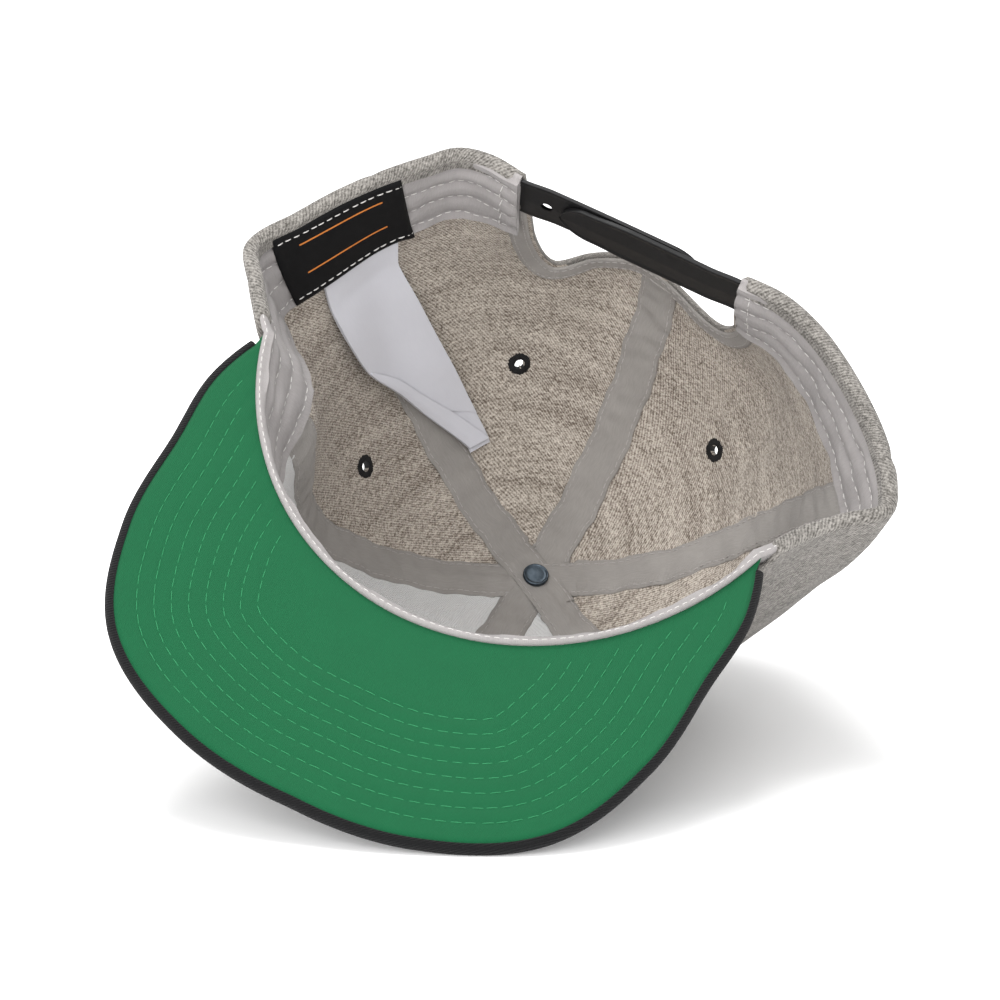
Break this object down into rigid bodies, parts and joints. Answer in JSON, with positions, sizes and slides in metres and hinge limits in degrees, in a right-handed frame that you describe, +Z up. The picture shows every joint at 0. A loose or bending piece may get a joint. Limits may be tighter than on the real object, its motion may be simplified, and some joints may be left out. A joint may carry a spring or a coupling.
{
  "type": "snapback cap",
  "caption": "Snapback baseball cap lying upside down: panelled cloth crown with seam tapes, flat stitched peak, sweatband and plastic snap strap.",
  "frame": {"origin": "middle of the flat patch where the front of the crown rests on the floor", "axes": "+Z up from the floor the cap lies on, -Y towards the peak, +X towards the wearer's right side"},
  "size_m": [0.1983, 0.2536, 0.168],
  "materials": {
    "twill": "heather grey twill",
    "buckram": "off-white stiff gauze",
    "tape": "taupe plain weave",
    "band": "light grey plain weave with stitched rows",
    "thread": "black embroidery",
    "label": "black woven damask",
    "satin": "white satin",
    "wool": "black wool blend",
    "green": "green twill",
    "plastic": "matte black",
    "metal": "blue-grey metal"
  },
  "bodies": {
    "root": {"crown_back_left": "twill", "crown_side_left": "twill", "crown_front_left": "twill", "crown_front_right": "twill", "crown_side_right": "twill", "crown_back_right": "twill", "button": "twill", "buckram_left": "buckram", "buckram_right": "buckram", "tape_left": "tape", "tape_front": "tape", "tape_right": "tape", "tape_back": "tape", "tape_over_top": "tape", "arch_binding": "tape", "sweatband": "band", "eyelet_back_left": "thread", "eyelet_side_left": "thread", "eyelet_front_left": "thread", "eyelet_front_right": "thread", "eyelet_side_right": "thread", "eyelet_back_right": "thread", "label": "label", "care_tag": "satin", "peak_cover": "wool", "peak_underside": "green", "strap_left": "plastic", "strap_right": "plastic", "button_rivet": "metal"}
  },
  "joints": []
}
